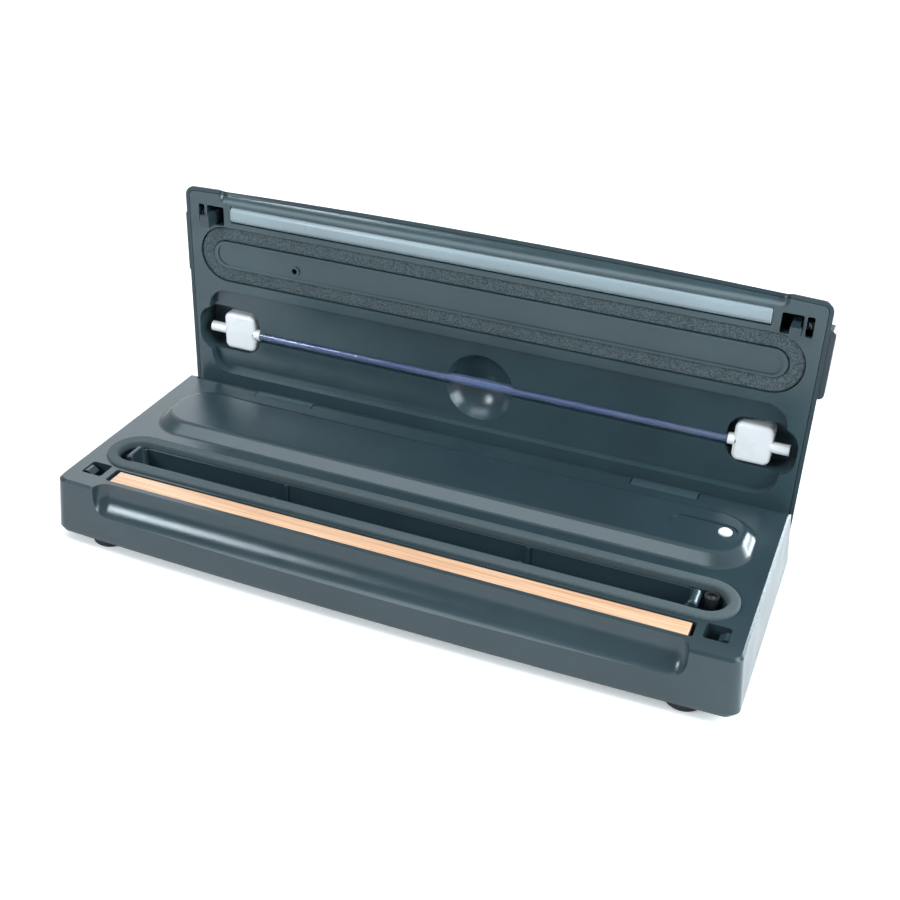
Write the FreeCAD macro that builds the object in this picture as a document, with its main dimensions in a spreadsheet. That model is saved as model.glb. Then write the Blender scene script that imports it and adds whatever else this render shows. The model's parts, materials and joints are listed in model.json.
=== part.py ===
import FreeCAD, Part
import math
import os
import re

import Sketcher
from FreeCAD import Placement, Rotation, Vector

doc = FreeCAD.newDocument("vacuum_sealer")
sheet = doc.addObject("Spreadsheet::Sheet", "dims")

# Driving dimensions in millimetres: X right, Y to the rear, Z up from the table
SIZES = {
    "strip_length": 324.0,
    "strip_width": 11.0,
    "strip_inset": 15.6,
    "side_margin": 28.0,
    "chamber_gap": 3.2,
    "hump_gap": 8.1,
    "hump_depth": 54.5,
    "hinge_zone": 25.5,
    "front_bow": 3.5,
    "deck_height": 40.0,
    "foot_height": 6.2,
    "side_flare": 3.0,
    "front_flare": 0.3,
    "corner_radius": 6.0,
    "wall": 2.5,
    "cover_plate": 2.6,
    "hinge_inset": 11.6,
    "hinge_margin": 70.0,
    "knuckle_width": 38.0,
    "pin_radius": 2.0,
    "pin_length": 60.0,
    "lid_gap": 1.6,
    "lid_thickness": 26.0,
    "lid_wall": 2.2,
    "panel_gap": 0.3,
    "notch_gap": 0.6,
    "panel_thickness": 2.5,
    "recess_depth": 5.0,
    "hump_height": 5.0,
    "slot_gap": 0.5,
    "slot_end_gap": 2.3,
    "slot_depth": 9.0,
    "gasket_margin": 9.0,
    "gasket_width": 34.6,
    "gasket_band": 6.3,
    "gasket_height": 4.2,
    "gasket_seat": 2.2,
    "foam_band": 8.6,
    "well_margin": 7.0,
    "well_depth": 14.0,
    "tray_gap": 1.9,
    "tray_end_gap": 9.0,
    "tray_shift": -4.0,
    "tray_wall": 1.2,
    "port_margin": 8.0,
    "port_radius": 3.7,
    "latch_margin": 16.8,
    "latch_width": 4.6,
    "latch_depth": 7.0,
    "press_length": 40.0,
    "press_height": 8.6,
    "socket_width": 12.5,
    "socket_depth": 16.0,
    "hose_depth": 8.0,
    "hose_radius": 2.9,
    "connector_margin": 28.8,
    "connector_width": 21.5,
    "connector_depth": 24.0,
    "connector_height": 11.0,
    "dome_radius": 21.0,
    "dome_depth": 13.0,
    "switch_margin": 28.8,
    "switch_radius": 3.7,
    "foot_radius": 10.0,
    "foot_margin": 25.0,
    "foot_inset": 11.5,
    "rear_foot_inset": 32.0,
    "button_length": 26.0,
    "button_width": 12.0,
    "button_rise": 1.0,
    "button_spacing": 42.0,
    "button_gap": 15.75,
}
for row, (alias, value) in enumerate(SIZES.items(), start=1):
    sheet.set("A%d" % row, alias)
    sheet.set("B%d" % row, str(value))
    sheet.setAlias("B%d" % row, alias)
doc.recompute()


class Dims:
    """The sheet's values, read by alias."""

    def __getattr__(self, alias):
        return float(sheet.get(alias))


d = Dims()

# Places that several pieces share, as numbers and as texts for the bound objects
FRONT_ZONE = d.strip_inset + d.strip_width / 2 + d.chamber_gap + d.gasket_width + d.hump_gap
DEPTH = FRONT_ZONE + d.hump_depth + d.hinge_zone
FRONT = (d.front_bow + d.front_flare - d.lid_gap - d.lid_thickness - d.button_rise - DEPTH) / 2
REAR = FRONT + DEPTH
HALF = d.strip_length / 2 + d.side_margin
MIDDLE = FRONT + FRONT_ZONE + d.hump_depth / 2
STRIP_LINE = FRONT + d.strip_inset
CHAMBER_LINE = STRIP_LINE + d.strip_width / 2 + d.chamber_gap + d.gasket_width / 2
HOSE_LINE = MIDDLE + 0.85
SWITCH_LINE = MIDDLE + 4.25
BUTTON_LINE = MIDDLE - d.dome_radius - d.button_gap
GASKET_LENGTH = 2 * (HALF - d.gasket_margin)
WELL_LENGTH = GASKET_LENGTH - 2 * d.well_margin
WELL_WIDTH = d.gasket_width - 2 * d.gasket_band - 0.8
PORT_X = WELL_LENGTH / 2 - d.port_margin
PORT_LINE = CHAMBER_LINE + 5
LATCH_X = HALF - d.latch_margin
SOCKET_X = LATCH_X - 4.6
LATCH_LINE = STRIP_LINE + 3.9
HINGE_X = HALF - d.hinge_margin
CONNECTOR_X = HALF - d.connector_margin
SWITCH_X = HALF - d.switch_margin
FOOT_X = HALF - d.foot_margin
HINGE = Vector(0, REAR - d.hinge_inset, d.deck_height - d.hinge_inset)
LID_PLANE = d.deck_height + d.lid_gap
LID_TOP = LID_PLANE + d.lid_thickness
OPEN_LID = Placement(Vector(), Rotation(Vector(1, 0, 0), -90), HINGE)
INNER_FLOOR = d.foot_height + d.cover_plate
FRONT_CEILING = d.deck_height - d.well_depth - 5
TUBE_LEVEL = (INNER_FLOOR + FRONT_CEILING) / 2

ZONE_TEXT = "(strip_inset + strip_width / 2 + chamber_gap + gasket_width + hump_gap)"
DEPTH_TEXT = "(%s + hump_depth + hinge_zone)" % ZONE_TEXT
FRONT_TEXT = "((front_bow + front_flare - lid_gap - lid_thickness - button_rise - %s) / 2)" % DEPTH_TEXT
REAR_TEXT = "(%s + %s)" % (FRONT_TEXT, DEPTH_TEXT)
HALF_TEXT = "(strip_length / 2 + side_margin)"
MIDDLE_TEXT = "(%s + %s + hump_depth / 2)" % (FRONT_TEXT, ZONE_TEXT)
STRIP_TEXT = "(%s + strip_inset)" % FRONT_TEXT
CHAMBER_TEXT = "(%s + strip_width / 2 + chamber_gap + gasket_width / 2)" % STRIP_TEXT
HOSE_TEXT = "(%s + 0.85)" % MIDDLE_TEXT
SWITCH_LINE_TEXT = "(%s + 4.25)" % MIDDLE_TEXT
PORT_X_TEXT = "(%s - gasket_margin - well_margin - port_margin)" % HALF_TEXT
PORT_LINE_TEXT = "(%s + 5)" % CHAMBER_TEXT
LATCH_X_TEXT = "(%s - latch_margin)" % HALF_TEXT
HINGE_X_TEXT = "(%s - hinge_margin)" % HALF_TEXT
CONNECTOR_X_TEXT = "(%s - connector_margin)" % HALF_TEXT
SWITCH_X_TEXT = "(%s - switch_margin)" % HALF_TEXT
FOOT_X_TEXT = "(%s - foot_margin)" % HALF_TEXT
FLOOR_TEXT = "(foot_height + cover_plate)"
ROOM_TEXT = "(deck_height - wall - %s)" % FLOOR_TEXT
CEILING_TEXT = "(deck_height - well_depth - 5)"
TUBE_TEXT = "((%s + %s) / 2)" % (FLOOR_TEXT, CEILING_TEXT)
nodes = []


# Helpers for objects bound to the sheet

def bound(text):
    return re.sub(r"[a-z][a-z_]+", lambda word: "dims." + word.group(0), str(text))


def bind(item, **sizes):
    for name, text in sizes.items():
        item.setExpression(name, bound(text))


def place(item, x, y, z):
    for axis, text in zip("xyz", (x, y, z)):
        item.setExpression("Placement.Base." + axis, bound(text))


def block(name, x0, x1, y0, y1, z0, z1):
    item = doc.addObject("Part::Box", name)
    bind(item, Length="(%s) - (%s)" % (x1, x0), Width="(%s) - (%s)" % (y1, y0),
         Height="(%s) - (%s)" % (z1, z0))
    place(item, x0, y0, z0)
    return item


TURNS = {
    "x": Rotation(Vector(0, 1, 0), 90),
    "y": Rotation(Vector(1, 0, 0), -90),
    "z": Rotation(),
}


def rod(name, axis, radius, x, y, z, length):
    item = doc.addObject("Part::Cylinder", name)
    bind(item, Radius=radius, Height=length)
    item.Placement = Placement(Vector(), TURNS[axis])
    place(item, x, y, z)
    return item


def join(name, *pieces):
    item = doc.addObject("Part::MultiFuse", name)
    item.Shapes = list(pieces)
    return item


def carve(name, base, *tools):
    item = doc.addObject("Part::Cut", name)
    item.Base = base
    item.Tool = tools[0] if len(tools) == 1 else join(name + "_tools", *tools)
    return item


def rounded(name, base, radius, chosen):
    doc.recompute()
    item = doc.addObject("Part::Fillet", name)
    item.Base = base
    item.Edges = [(i, radius, radius) for i, edge in enumerate(base.Shape.Edges, start=1) if chosen(edge)]
    return item


def turned(name, profile):
    """A PartDesign body turned about its own Z axis from a profile of (radius, height) texts."""
    body = doc.addObject("PartDesign::Body", name)
    sketch = body.newObject("Sketcher::SketchObject", name + "_profile")
    plane = [item for item in body.Origin.OriginFeatures if item.Role == "XZ_Plane"][0]
    sketch.AttachmentSupport = [(plane, "")]
    sketch.MapMode = "FlatFace"
    count = len(profile)
    start = [Vector(i + 1, i * i + 1, 0) for i in range(count)]
    for i in range(count):
        sketch.addGeometry(Part.LineSegment(start[i], start[(i + 1) % count]), False)
    for i in range(count):
        sketch.addConstraint(Sketcher.Constraint("Coincident", i, 2, (i + 1) % count, 1))
    for i, point in enumerate(profile):
        for kind, text, axis in (("DistanceX", point[0], -2), ("DistanceY", point[1], -1)):
            if text == "0":
                sketch.addConstraint(Sketcher.Constraint("PointOnObject", i, 1, axis))
            else:
                index = sketch.addConstraint(Sketcher.Constraint(kind, -1, 1, i, 1, 5.0 + i))
                sketch.setExpression("Constraints[%d]" % index, bound(text))
    turn = body.newObject("PartDesign::Revolution", name + "_turn")
    turn.Profile = sketch
    turn.ReferenceAxis = (sketch, ["V_Axis"])
    turn.Angle = 360
    return body


def node(item, label, in_lid=False):
    item.Label = label
    if in_lid:
        item.Placement = OPEN_LID.multiply(item.Placement)
    nodes.append(item)
    return item


# Helpers for moulded shapes made with Part's own functions

def moulded(label, shape, in_lid=False):
    item = doc.addObject("Part::Feature", label)
    item.Shape = shape
    return node(item, label, in_lid)


def box(x0, x1, y0, y1, z0, z1):
    return Part.makeBox(x1 - x0, y1 - y0, z1 - z0, Vector(x0, y0, z0))


def bar(x0, x1, y, z, radius):
    return Part.makeCylinder(radius, x1 - x0, Vector(x0, y, z), Vector(1, 0, 0))


def post(x, y, z0, z1, radius):
    return Part.makeCylinder(radius, z1 - z0, Vector(x, y, z0))


def bowed_outline(half_width, front, rear, bow, radius, level):
    """Outline with a bowed front, round corners and a straight rear, at one level."""
    bow_radius = (half_width ** 2 + bow ** 2) / (2 * bow)
    bow_centre = Vector(0, front - bow + bow_radius, level)
    reach = math.sqrt((bow_radius - radius) ** 2 - (half_width - radius) ** 2)
    edges = []
    corner = Vector(half_width - radius, bow_centre.y - reach, level)
    along = (corner - bow_centre).normalize()
    touch = bow_centre + along * bow_radius
    left_touch = Vector(-touch.x, touch.y, level)
    middle = Vector(0, front - bow, level)
    side = Vector(half_width, corner.y, level)
    half_way = corner + (along + Vector(1, 0, 0)).normalize() * radius
    back = Vector(half_width, rear - radius, level)
    back_half = Vector(half_width - radius, rear - radius, level) + Vector(1, 1, 0).normalize() * radius
    back_end = Vector(half_width - radius, rear, level)

    def left(point):
        return Vector(-point.x, point.y, point.z)

    edges.append(Part.Arc(left_touch, middle, touch).toShape())
    edges.append(Part.Arc(touch, half_way, side).toShape())
    edges.append(Part.makeLine(side, back))
    edges.append(Part.Arc(back, back_half, back_end).toShape())
    edges.append(Part.makeLine(back_end, left(back_end)))
    edges.append(Part.Arc(left(back_end), left(back_half), left(back)).toShape())
    edges.append(Part.makeLine(left(back), left(side)))
    edges.append(Part.Arc(left(side), left(half_way), left_touch).toShape())
    return Part.Wire(edges)


def rounded_outline(x0, x1, y0, y1, radius, level):
    """A rectangle with round corners at one level."""
    corners = [(x1, y0, 0, -1), (x1, y1, 1, 0), (x0, y1, 0, 1), (x0, y0, -1, 0)]
    signs = [(1, -1), (1, 1), (-1, 1), (-1, -1)]
    arcs = []
    for (x, y, first_x, first_y), (sx, sy) in zip(corners, signs):
        centre = Vector(x - sx * radius, y - sy * radius, level)
        start = centre + Vector(first_x, first_y, 0) * radius
        middle = centre + Vector(sx, sy, 0).normalize() * radius
        end = centre + Vector(-first_y, first_x, 0) * radius
        arcs.append((start, middle, end))
    edges = []
    for i, (start, middle, end) in enumerate(arcs):
        edges.append(Part.Arc(start, middle, end).toShape())
        following = arcs[(i + 1) % 4][0]
        if end.distanceToPoint(following) > 1e-6:
            edges.append(Part.makeLine(end, following))
    return Part.Wire(edges)


def prism(outline, height):
    return Part.Face(outline).extrude(Vector(0, 0, height))


def rounded_block(x0, x1, y0, y1, z0, z1, radius):
    return prism(rounded_outline(x0, x1, y0, y1, radius, z0), z1 - z0)


def stadium(length, width, y, z0, z1):
    radius = width / 2 - 0.001
    return rounded_block(-length / 2, length / 2, y - width / 2, y + width / 2, z0, z1, radius)


def ring(length, width, band, y, z0, z1):
    inner = stadium(length - 2 * band, width - 2 * band, y, z0 - 1, z1 + 1)
    return stadium(length, width, y, z0, z1).cut(inner)


def level_edges(shape, level):
    """The edges of a shape that lie flat at one level."""
    return [edge for edge in shape.Edges
            if abs(edge.BoundBox.ZMin - level) < 1e-4 and edge.BoundBox.ZLength < 1e-4]


def mirrored(shape):
    return shape.mirror(Vector(), Vector(1, 0, 0))


def both_sides(shape):
    return shape.fuse(mirrored(shape))


# Base: upper housing with its deck, hump, wells and hinge notches
SCREW_SPOTS = [(-HINGE_X, FRONT + 14), (HINGE_X, FRONT + 14), (-FOOT_X, REAR - 16), (FOOT_X, REAR - 16),
               (0, REAR - 16)]
NOTCH_RADIUS = d.hinge_inset + 0.75
KNUCKLE_RADIUS = d.hinge_inset + 0.4
COVER_INSET = 3.0
GLAND_X = 30.0 - HALF
GLAND_LEVEL = HINGE.z - d.hinge_inset - 4.4
GLAND_RADIUS = 3.0
HUMP_FRONT = FRONT + FRONT_ZONE
HUMP_REAR = HUMP_FRONT + d.hump_depth
HUMP_HALF = HALF - 12.5
HUMP_TOP = d.deck_height + d.hump_height


def base_outline(grow, level):
    forward = grow * d.front_flare / d.side_flare if grow > 0 else grow
    rear = REAR + min(grow, 0)
    return bowed_outline(HALF + grow, FRONT - forward, rear, d.front_bow, d.corner_radius, level)


def scoop_tool(radius, y, z, half_length, end_round):
    tool = bar(-half_length, half_length, y, z, radius)
    ends = [edge for edge in tool.Edges if edge.Curve.TypeId == "Part::GeomCircle"]
    return tool.makeFillet(end_round, ends)


def make_deck_and_hump():
    """The moulded outer form: flared walls, a soft deck edge and the hump that runs out into the deck."""
    edge = 1.4
    deck = d.deck_height
    solid = Part.makeLoft([
        base_outline(d.side_flare - 2, d.foot_height),
        base_outline(d.side_flare, d.foot_height + 2),
        base_outline(0, deck - edge),
        base_outline(-edge, deck)], True, True)
    hump = Part.makeLoft([
        rounded_outline(-HUMP_HALF, HUMP_HALF, HUMP_FRONT, HUMP_REAR, 20, deck - 1),
        rounded_outline(5.5 - HUMP_HALF, HUMP_HALF - 5.5, HUMP_FRONT + 10, HUMP_REAR - 3.5, 18, HUMP_TOP)],
        True, True)
    hump = hump.makeFillet(6.0, level_edges(hump, HUMP_TOP))
    solid = solid.fuse(hump)
    foot = [line for line in level_edges(solid, deck)
            if HUMP_FRONT < line.BoundBox.YMin and line.BoundBox.YMax < HUMP_REAR
            and -HUMP_HALF < line.BoundBox.XMin and line.BoundBox.XMax < HUMP_HALF]
    return solid.makeFillet(4.0, foot)


def housing_rooms():
    """The hollows: under the hump, beside the hinge pins, under the front deck, and the cover's seat."""
    side = HALF - 4
    rear_wall = REAR - 3.5
    rear_start = HUMP_REAR - 3.5
    rear_ceiling = d.deck_height - 7
    inside_pin = HINGE_X - d.pin_length / 2 - 2
    outside_pin = HINGE_X + d.pin_length / 2 + 2
    seat = bowed_outline(HALF - COVER_INSET, FRONT + COVER_INSET, REAR - COVER_INSET, d.front_bow, 4, 0)
    return [
        box(-side, side, HUMP_FRONT - 7, HUMP_REAR - 2.5, 0, d.deck_height - d.wall),
        box(-inside_pin, inside_pin, rear_start, rear_wall, 0, rear_ceiling),
        both_sides(box(outside_pin, side, rear_start, rear_wall, 0, rear_ceiling)),
        box(-side, side, FRONT + 4, HUMP_FRONT - 6.5, 0, FRONT_CEILING),
        rounded_block(9.5 - HUMP_HALF, HUMP_HALF - 9.5, HUMP_FRONT + 13, HUMP_REAR - 6.5, d.deck_height - 4,
                      HUMP_TOP - d.wall, 12),
        prism(seat, INNER_FLOOR),
    ]


def deck_cuts():
    """The openings in the deck: strip slot, gasket seat, well, port, latch sockets and round switch."""
    deck = d.deck_height
    above = deck + 9
    half_slot = d.strip_length / 2 + d.slot_end_gap
    slot_reach = d.strip_width / 2 + d.slot_gap
    return [
        rounded_block(-half_slot, half_slot, STRIP_LINE - slot_reach, STRIP_LINE + slot_reach,
                      deck - d.slot_depth, above, 1.5),
        stadium(GASKET_LENGTH + 0.6, d.gasket_width + 0.6, CHAMBER_LINE, deck - d.gasket_seat, above),
        stadium(WELL_LENGTH, WELL_WIDTH, CHAMBER_LINE, deck - d.well_depth, above),
        post(PORT_X, PORT_LINE, 0, deck, d.port_radius - 1.2),
        both_sides(rounded_block(SOCKET_X, SOCKET_X + d.socket_width, LATCH_LINE - 8.1, LATCH_LINE + 4.1,
                                 deck - d.socket_depth, above, 1.5)),
        rounded_block(SWITCH_X - 30.2, SWITCH_X + 6.8, SWITCH_LINE - 6.8, SWITCH_LINE + 6.8, HUMP_TOP - 0.8,
                      HUMP_TOP + 9, 6.7),
        post(SWITCH_X, SWITCH_LINE, 0, HUMP_TOP, d.switch_radius + 0.2),
    ]


def hinge_cuts():
    """The notches for the lid's knuckles, with the bores of the pins and of the cord's gland."""
    inner = HINGE_X - d.knuckle_width / 2 - d.notch_gap
    outer = HINGE_X + d.knuckle_width / 2 + d.notch_gap
    half_pin = d.pin_length / 2
    return [
        both_sides(bar(inner, outer, HINGE.y, HINGE.z, NOTCH_RADIUS)),
        both_sides(box(inner, outer, HINGE.y, REAR + 9, HINGE.z - 7, HINGE.z + 9)),
        both_sides(bar(HINGE_X - half_pin, HINGE_X + half_pin, HINGE.y, HINGE.z, d.pin_radius)),
        Part.makeCylinder(GLAND_RADIUS, 9, Vector(GLAND_X, REAR - 8, GLAND_LEVEL), Vector(0, 1, 0)),
    ]


def make_upper_housing():
    solid = make_deck_and_hump()
    shoulder = box(-HALF - 9, HALF + 9, HINGE.y, REAR + 9, HINGE.z, d.deck_height + 9)
    solid = solid.cut(shoulder.cut(bar(-HALF - 10, HALF + 10, HINGE.y, HINGE.z, d.hinge_inset)))
    solid = solid.cut(scoop_tool(18.0, FRONT - 11.2, d.deck_height - 2.1, HALF - 24.5, 7.0))
    for room in housing_rooms():
        solid = solid.cut(room)
    for x, y in SCREW_SPOTS:
        ceiling = d.deck_height - 6 if y > MIDDLE else FRONT_CEILING + 1
        solid = solid.fuse(post(x, y, INNER_FLOOR, ceiling, 4))
        solid = solid.cut(post(x, y, INNER_FLOOR - 1, INNER_FLOOR + 10, 1.25))
    for cut in deck_cuts() + hinge_cuts():
        solid = solid.cut(cut)
    return solid.fuse(both_sides(make_catch())).removeSplitter()


def make_catch():
    """The wedge in a latch socket that the hook's nose sits under."""
    wall = SOCKET_X + d.socket_width + 0.2
    tip = LATCH_X + d.latch_width / 2 + 0.4
    low = LID_PLANE - 5.2
    corners = [(wall, low), (tip, low), (tip, low + 0.8), (tip + 3, low + 3), (wall, low + 3)]
    points = [Vector(x, LATCH_LINE - 5, z) for x, z in corners]
    return Part.Face(Part.makePolygon(points + points[:1])).extrude(Vector(0, 6, 0))


moulded("base_upper_housing", make_upper_housing())


# Base: bottom cover with its screw wells, foot sockets and board standoffs
FRONT_FOOT_TEXT = FRONT_TEXT + " + foot_inset"
REAR_FOOT_TEXT = REAR_TEXT + " - rear_foot_inset"
FOOT_SPOTS = {
    "foot_front_left": ("-" + FOOT_X_TEXT, FRONT_FOOT_TEXT),
    "foot_front_right": (FOOT_X_TEXT, FRONT_FOOT_TEXT),
    "foot_rear_left": ("-" + FOOT_X_TEXT, REAR_FOOT_TEXT),
    "foot_rear_right": (FOOT_X_TEXT, REAR_FOOT_TEXT),
}
FOOT_STEM = 2.95
BOARD_SPOTS = [(x, MIDDLE + y) for x in (40, 122) for y in (7.25, 16.25)]


def make_lower_cover():
    gap = COVER_INSET + 0.3
    outline = bowed_outline(HALF - gap, FRONT + gap, REAR - gap, d.front_bow, 3.7, d.foot_height)
    plate = prism(outline, d.cover_plate)
    for x, y in SCREW_SPOTS:
        plate = plate.cut(post(x, y, 0, 20, 1.6))
        plate = plate.cut(post(x, y, 0, d.foot_height + 1.2, 3.2))
    for x in (-FOOT_X, FOOT_X):
        for y in (FRONT + d.foot_inset, REAR - d.rear_foot_inset):
            plate = plate.cut(post(x, y, 0, 20, FOOT_STEM + 0.05))
    for x, y in BOARD_SPOTS:
        plate = plate.fuse(post(x, y, INNER_FLOOR, INNER_FLOOR + 6, 3))
    return plate.fuse(post(SWITCH_X, SWITCH_LINE, INNER_FLOOR, d.deck_height - 4, 4))


moulded("base_lower_cover", make_lower_cover())
for label, (x, y) in FOOT_SPOTS.items():
    foot = turned(label, [("0", "0"), ("foot_radius - 1", "0"), ("foot_radius", "1"),
                          ("foot_radius", "foot_height"), (str(FOOT_STEM), "foot_height"),
                          (str(FOOT_STEM), FLOOR_TEXT), ("0", FLOOR_TEXT)])
    place(foot, x, y, "0")
    node(foot, label)


def make_cover_screws():
    screws = []
    for x, y in SCREW_SPOTS:
        head = post(x, y, d.foot_height + 0.2, d.foot_height + 1.2, 2.9)
        shank = post(x, y, d.foot_height + 1.2, INNER_FLOOR + 8, 1.25)
        slot = box(x - 2, x + 2, y - 0.4, y + 0.4, d.foot_height, d.foot_height + 0.8)
        screws.append(head.fuse(shank).cut(slot).cut(slot.rotated(Vector(x, y, 0), Vector(0, 0, 1), 90)))
    return Part.makeCompound(screws)


moulded("cover_screws", make_cover_screws())

# Base: sealing bar, heating strip and the cover tape over them
TAPE_THICKNESS = "0.5"
TAPE_END = "1"
TAPE_TOP = "deck_height - 0.3"
BAR_TOP = "deck_height - 1.1"
HEATER_TOP = "deck_height - 0.8"
HEATER_END = "6"
HALF_HEATER = "1.5"
SLOT_FLOOR = "deck_height - slot_depth"


def strip_block(name, end, side, low, high):
    """A block along the sealing line, drawn in from the tape's ends and sides."""
    near = "%s - strip_width / 2 + %s" % (STRIP_TEXT, side)
    far = "%s + strip_width / 2 - %s" % (STRIP_TEXT, side)
    return block(name, "-strip_length / 2 + " + end, "strip_length / 2 - " + end, near, far, low, high)


def heater_block(name, low):
    return block(name, "-strip_length / 2 + " + HEATER_END, "strip_length / 2 - " + HEATER_END,
                 "%s - %s" % (STRIP_TEXT, HALF_HEATER), "%s + %s" % (STRIP_TEXT, HALF_HEATER),
                 low, HEATER_TOP)


node(strip_block("sealing_bar", TAPE_END, TAPE_THICKNESS, SLOT_FLOOR, BAR_TOP), "sealing_bar")
node(heater_block("heating_strip", BAR_TOP), "heating_strip")
tape_outer = strip_block("tape_outer", "0", "0", SLOT_FLOOR, TAPE_TOP)
tape_round = rounded("tape_round", tape_outer, 2.2,
                     lambda edge: edge.BoundBox.ZMin > d.deck_height - 1 and edge.BoundBox.XLength < 1)
tape_inner = strip_block("tape_inner", TAPE_END, TAPE_THICKNESS, SLOT_FLOOR + " - 1", BAR_TOP)
tape_strip = heater_block("tape_strip", "deck_height - 2")
node(carve("ptfe_tape", tape_round, tape_inner, tape_strip), "ptfe_tape")


# Base: gasket round the vacuum chamber, tray and port
def make_lower_gasket():
    low = d.deck_height - d.gasket_seat
    high = low + d.gasket_height
    body = ring(GASKET_LENGTH, d.gasket_width, d.gasket_band, CHAMBER_LINE, low, high)
    return body.makeChamfer(1.4, level_edges(body, high))


def make_drip_tray():
    """The loose tray: a long trough with a round grip at each end and two pairs of pouring ribs."""
    floor = d.deck_height - d.well_depth + 0.3
    edge = d.deck_height - 1
    rim = d.deck_height + 1.2
    half_length = WELL_LENGTH / 2 - d.tray_end_gap
    left = d.tray_shift - half_length + 3
    right = d.tray_shift + half_length - 3
    near = CHAMBER_LINE - WELL_WIDTH / 2 + d.tray_gap
    far = CHAMBER_LINE + WELL_WIDTH / 2 - d.tray_gap
    wall = d.tray_wall
    tray = rounded_block(left, right, near, far, floor, edge, 6)
    for x in (left, right):
        grip = Part.makeCylinder(3.0, far - near - 5, Vector(x, near + 2.5, rim - 3), Vector(0, 1, 0))
        tray = tray.fuse(grip.makeFillet(1.2, grip.Edges[0:1] + grip.Edges[2:3]))
    tray = tray.cut(rounded_block(left + wall, right - wall, near + wall, far - wall, floor + wall,
                                  edge + 9, 4.8))
    tray = tray.cut(box(left + 3, right - 3, near + wall, far - wall, floor + wall, edge + 9))
    for x in (d.tray_shift - 69, d.tray_shift + 73):
        for y in (near + 0.4, far - wall - 1.2):
            tray = tray.fuse(box(x - 1, x + 1, y, y + wall + 0.8, floor + 0.2, edge - 0.2))
    return tray


moulded("lower_gasket", make_lower_gasket())
moulded("drip_tray", make_drip_tray())
PORT_BORE = "1.4"
STEM_FOOT = "(%s - 1.3)" % TUBE_TEXT
STEM_RADIUS = "port_radius - 1.2"
STEM = "(deck_height - well_depth - %s)" % STEM_FOOT
PORT_RIM = STEM + " + well_depth - 0.5"
port = turned("vacuum_port", [(PORT_BORE, "0"), (STEM_RADIUS, "0"), (STEM_RADIUS, STEM),
                              ("port_radius", STEM), ("port_radius", PORT_RIM), ("port_radius - 1", PORT_RIM),
                              ("port_radius - 1", PORT_RIM + " - 2"), (PORT_BORE, PORT_RIM + " - 3")])
place(port, PORT_X_TEXT, PORT_LINE_TEXT, STEM_FOOT)
node(port, "vacuum_port")

# Base: pump, motor, transformer, board and switches under the hump
PUMP_LINE = MIDDLE - 2.25
PUMP_TEXT = "(%s - 2.25)" % MIDDLE_TEXT
PUMP_RIGHT = 12.0
NIPPLE_RADIUS = 2.2
pump = join("pump_body",
            block("pump_case", "-24", str(PUMP_RIGHT), PUMP_TEXT + " - 17", PUMP_TEXT + " + 17", FLOOR_TEXT,
                  "%s + %s - 0.9" % (FLOOR_TEXT, ROOM_TEXT)),
            rod("pump_nipple", "x", str(NIPPLE_RADIUS), str(PUMP_RIGHT), PUMP_TEXT, TUBE_TEXT, "12"))
node(pump, "pump_body")
MOTOR_RADIUS = "(%s / 2 - 0.5)" % ROOM_TEXT
motor = rod("pump_motor", "x", MOTOR_RADIUS, "-70", PUMP_TEXT, FLOOR_TEXT + " + " + MOTOR_RADIUS, "46")
node(motor, "pump_motor")

CORE_TEXT = "(%s - 3)" % MIDDLE_TEXT
CORE_HEIGHT = "(%s - 0.9)" % ROOM_TEXT
CORE_LEG = "7"


def core_part(name, left, right, reach, drop):
    """A block of the transformer, centred on its own line and drawn in from the top and bottom."""
    return block(name, left, right, "%s - %s" % (CORE_TEXT, reach), "%s + %s" % (CORE_TEXT, reach),
                 "%s + (%s)" % (FLOOR_TEXT, drop), "%s + %s - (%s)" % (FLOOR_TEXT, CORE_HEIGHT, drop))


core_frame = carve("core_frame", core_part("core_block", "-150", "-98", "20", "0"),
                   core_part("core_window", "-142", "-106", "21", CORE_LEG))
core_leg = core_part("core_leg", "-131", "-117", "20", CORE_LEG + " - 1")
node(join("transformer_core", core_frame, core_leg), "transformer_core")
node(carve("transformer_coil", core_part("coil_outer", "-141.7", "-106.3", "23", CORE_LEG),
           core_part("coil_inner", "-131", "-117", "20.3", CORE_LEG + " - 1")), "transformer_coil")

BOARD_BOTTOM = FLOOR_TEXT + " + 6"
BOARD_TOP = BOARD_BOTTOM + " + 1.6"


def board_part(name, left, right, near, far, low, high):
    return block(name, left, right, MIDDLE_TEXT + near, MIDDLE_TEXT + far, low, high)


board = join("power_board",
             board_part("board_plate", "36", "126", " + 2.75", " + 20.75", BOARD_BOTTOM, BOARD_TOP),
             board_part("board_relay", "48", "66", " + 5.25", " + 18.25", BOARD_TOP, BOARD_TOP + " + 12.4"),
             rod("board_capacitor", "z", "5", "82", MIDDLE_TEXT + " + 11.75", BOARD_TOP, "15"),
             board_part("board_terminal", "98", "114", " + 7.25", " + 16.25", BOARD_TOP,
                        BOARD_TOP + " + 8.4"))
node(board, "power_board")
for side, sign in (("left", "-"), ("right", "")):
    centre = "%s(%s + 1.6)" % (sign, LATCH_X_TEXT)
    switch = block("microswitch_" + side, centre + " - 6", centre + " + 6", STRIP_TEXT + " - 1.1",
                   STRIP_TEXT + " + 4.9", FLOOR_TEXT + " + 2.4", CEILING_TEXT)
    node(switch, "microswitch_" + side)


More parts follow.
